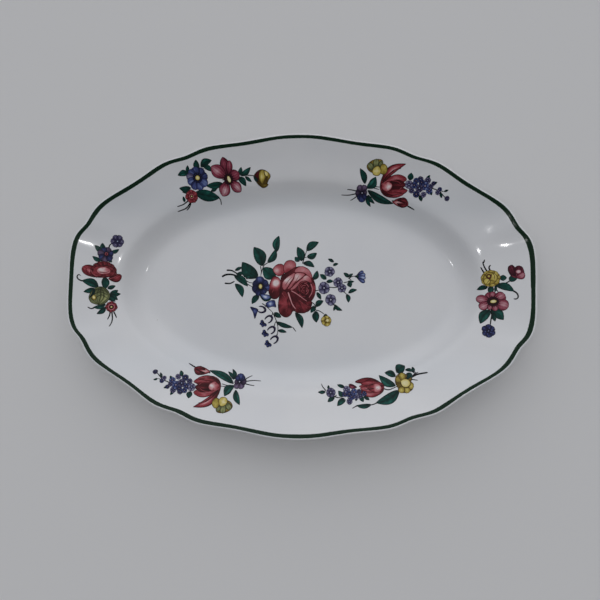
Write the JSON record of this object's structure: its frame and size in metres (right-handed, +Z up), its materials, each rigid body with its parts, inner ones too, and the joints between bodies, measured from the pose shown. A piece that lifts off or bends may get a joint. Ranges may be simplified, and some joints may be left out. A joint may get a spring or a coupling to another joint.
{
  "type": "serving platter",
  "caption": "Oval china serving platter with a lobed rim, a dark green rim line and painted flower sprays, used to carry and serve food.",
  "frame": {"origin": "middle of the surface that the foot ring stands on", "axes": "+X along the long axis, +Y across the platter, towards the top of the painting, +Z up out of the face"},
  "size_m": [0.3406, 0.2226, 0.0318],
  "materials": {
    "fired_china": "fired, unglazed",
    "face_glaze": "clear gloss glaze",
    "back_glaze": "clear gloss glaze",
    "rim_green": "fired gloss line",
    "crimson_enamel": "fired gloss enamel",
    "blue_enamel": "fired gloss enamel",
    "lilac_enamel": "fired gloss enamel",
    "yellow_enamel": "fired gloss enamel",
    "leaf_green": "fired gloss enamel",
    "stem_ink": "fired printed line",
    "claret_enamel": "fired gloss enamel",
    "scarlet_enamel": "fired gloss enamel",
    "violet_enamel": "fired gloss enamel",
    "indigo_enamel": "fired gloss enamel",
    "olive_enamel": "fired gloss enamel",
    "pink_enamel": "fired gloss enamel"
  },
  "bodies": {
    "root": {"china_body": "fired_china", "face_glaze": "face_glaze", "back_glaze": "back_glaze", "foot_well_glaze": "back_glaze", "rim_line": "rim_green", "centre_rose": "crimson_enamel", "centre_daisy": "blue_enamel", "centre_bluebells": "blue_enamel", "centre_forget_me_nots": "lilac_enamel", "centre_cornflower": "blue_enamel", "centre_buttercup": "yellow_enamel", "centre_leaves": "leaf_green", "centre_stems": "stem_ink", "top_left_blue_anemone": "blue_enamel", "top_left_red_anemone": "claret_enamel", "top_left_yellow_bud": "yellow_enamel", "top_left_red_daisy": "scarlet_enamel", "top_left_leaves": "leaf_green", "top_left_stems": "stem_ink", "top_right_pansy": "violet_enamel", "top_right_yellow_bud": "yellow_enamel", "top_right_tulip": "crimson_enamel", "top_right_larkspur": "indigo_enamel", "top_right_red_bud": "claret_enamel", "top_right_leaves": "leaf_green", "top_right_stems": "stem_ink", "left_forget_me_not": "blue_enamel", "left_pansy": "violet_enamel", "left_peony": "crimson_enamel", "left_globe_bud": "olive_enamel", "left_red_daisy": "scarlet_enamel", "left_leaves": "leaf_green", "left_stems": "stem_ink", "right_ranunculus": "yellow_enamel", "right_pink_bud": "pink_enamel", "right_red_anemone": "claret_enamel", "right_blue_flower": "blue_enamel", "right_leaves": "leaf_green", "right_stems": "stem_ink", "bottom_left_pansy": "violet_enamel", "bottom_left_yellow_bud": "yellow_enamel", "bottom_left_tulip": "crimson_enamel", "bottom_left_larkspur": "indigo_enamel", "bottom_left_red_bud": "claret_enamel", "bottom_left_leaves": "leaf_green", "bottom_left_stems": "stem_ink", "bottom_right_gold_flower": "yellow_enamel", "bottom_right_tulip": "crimson_enamel", "bottom_right_red_bud": "claret_enamel", "bottom_right_blue_cluster": "indigo_enamel", "bottom_right_blue_flower": "lilac_enamel", "bottom_right_leaves": "leaf_green", "bottom_right_stems": "stem_ink"}
  },
  "joints": []
}
